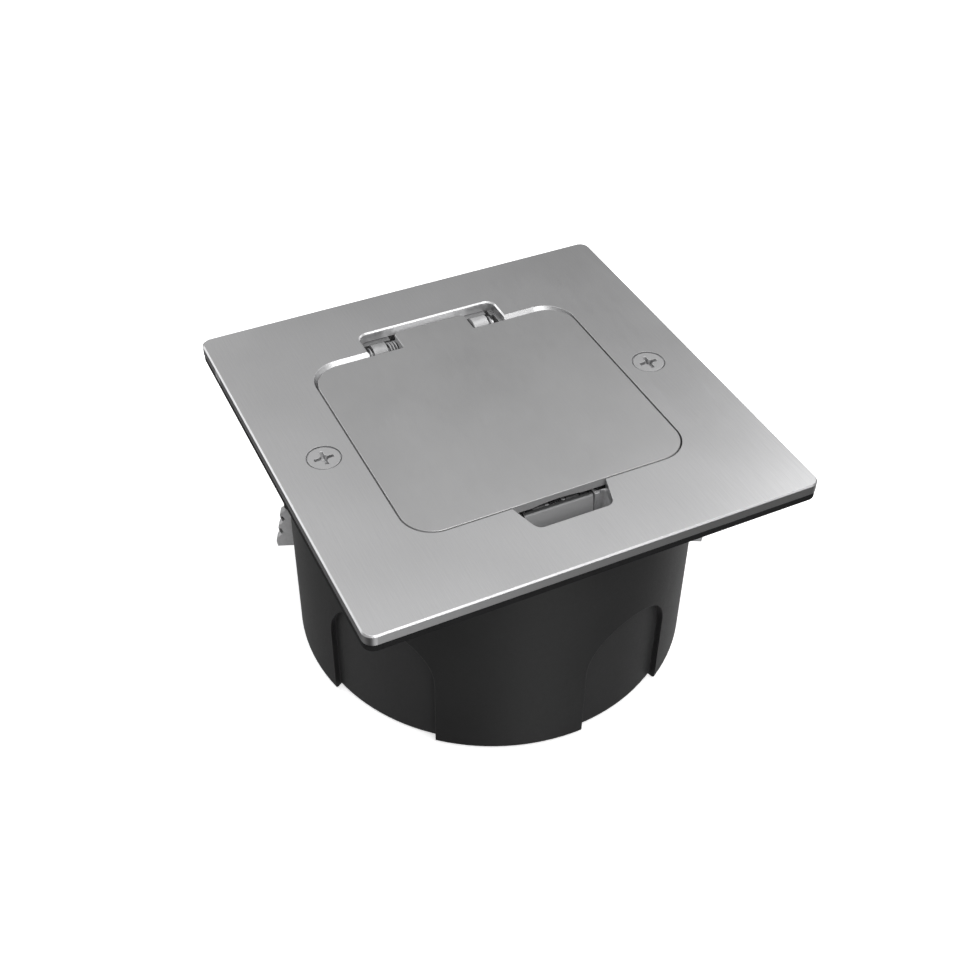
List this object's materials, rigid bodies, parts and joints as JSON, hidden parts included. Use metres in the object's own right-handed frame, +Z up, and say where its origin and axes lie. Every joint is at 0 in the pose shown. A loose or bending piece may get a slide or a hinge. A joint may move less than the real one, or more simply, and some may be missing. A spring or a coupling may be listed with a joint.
{
  "type": "floor socket box",
  "caption": "Flush floor socket box: square brushed plate with a spring-closed lid and cable notch over a round pot held in the floor by toothed claws.",
  "frame": {"origin": "centre of the pot's underside, which is the centre of the bounding box's bottom; the finished floor is the plane z = 69 mm", "axes": "+Z up out of the floor, +Y towards the lid's hinge, +X to the right of someone who faces the hinge from the cable notch"},
  "size_m": [0.125, 0.125, 0.074],
  "materials": {
    "pot_plastic": "matte",
    "gasket_rubber": "matte",
    "plate_steel": "brushed",
    "lid_steel": "satin",
    "screw_steel": "satin",
    "zinc_steel": "satin",
    "cast_metal": "satin",
    "seal_rubber": "matte",
    "pin_steel": "polished",
    "spring_steel": "satin",
    "flap_metal": "polished",
    "claw_metal": "matte",
    "dark_steel": "satin",
    "brass": "satin",
    "base_plastic": "matte",
    "cover_plastic": "satin",
    "contact_nickel": "satin"
  },
  "bodies": {
    "base": {"mounting_box": "pot_plastic", "frame_inserts": "brass", "floor_gasket": "gasket_rubber", "cover_frame": "plate_steel", "frame_screws": "screw_steel", "frame_studs": "zinc_steel", "stud_nuts": "zinc_steel", "lid_carrier": "cast_metal", "lid_seal": "seal_rubber", "hinge_pin": "pin_steel", "pin_clips": "spring_steel", "lid_spring": "spring_steel", "support_ring": "zinc_steel", "ring_screws": "zinc_steel", "ring_rivets": "zinc_steel", "socket_base": "base_plastic", "socket_cover": "cover_plastic", "cover_screw": "zinc_steel", "live_contact": "brass", "neutral_contact": "brass", "earth_contact": "contact_nickel", "terminal_screws": "zinc_steel", "bond_clamp": "contact_nickel", "bond_screw": "zinc_steel"},
    "lid": {"lid_panel": "lid_steel", "hinge_leaf": "cast_metal", "leaf_screws": "zinc_steel", "flap_bracket": "dark_steel", "bracket_rivets": "dark_steel", "flap_pin": "pin_steel", "flap_spring": "dark_steel"},
    "flap": {"outlet_flap": "flap_metal"},
    "claw_left": {"claw_left": "claw_metal"},
    "claw_right": {"claw_right": "claw_metal"},
    "claw_screw_left": {"claw_screw_left": "zinc_steel", "claw_clip_left": "spring_steel"},
    "claw_screw_right": {"claw_screw_right": "zinc_steel", "claw_clip_right": "spring_steel"}
  },
  "joints": [
    {"name": "lid_hinge", "type": "hinge", "parent": "base", "child": "lid", "pos_m": [0, 0.041, 0.0694], "axis": [-1, 0, 0], "range_deg": [0, 92], "stiffness_Nm_per_rad": 0.02, "springref_deg": -34.38, "deforming": ["lid_spring"]},
    {"name": "flap_hinge", "type": "hinge", "parent": "lid", "child": "flap", "pos_m": [0, -0.0354, 0.0686], "axis": [1, 0, 0], "range_deg": [0, 80], "stiffness_Nm_per_rad": 0.0003, "springref_deg": -34.38, "deforming": ["flap_spring"]},
    {"name": "claw_screw_left_turn", "type": "hinge", "parent": "base", "child": "claw_screw_left", "pos_m": [-0.04558, 0.02174, 0.03], "axis": [0, 0, -1], "range_deg": [0, 10290]},
    {"name": "claw_left_slide", "type": "slide", "parent": "base", "child": "claw_left", "axis": [0, 0, 1], "range_m": [0, 0.02]},
    {"name": "claw_screw_right_turn", "type": "hinge", "parent": "base", "child": "claw_screw_right", "pos_m": [0.04645, -0.01981, 0.03], "axis": [0, 0, -1], "range_deg": [0, 10290]},
    {"name": "claw_right_slide", "type": "slide", "parent": "base", "child": "claw_right", "axis": [0, 0, 1], "range_m": [0, 0.02]}
  ],
  "couplings": [
    {"joint": "claw_screw_left_turn", "follows": "claw_left_slide", "rad_per_m": 8976},
    {"joint": "claw_screw_right_turn", "follows": "claw_right_slide", "rad_per_m": 8976}
  ]
}
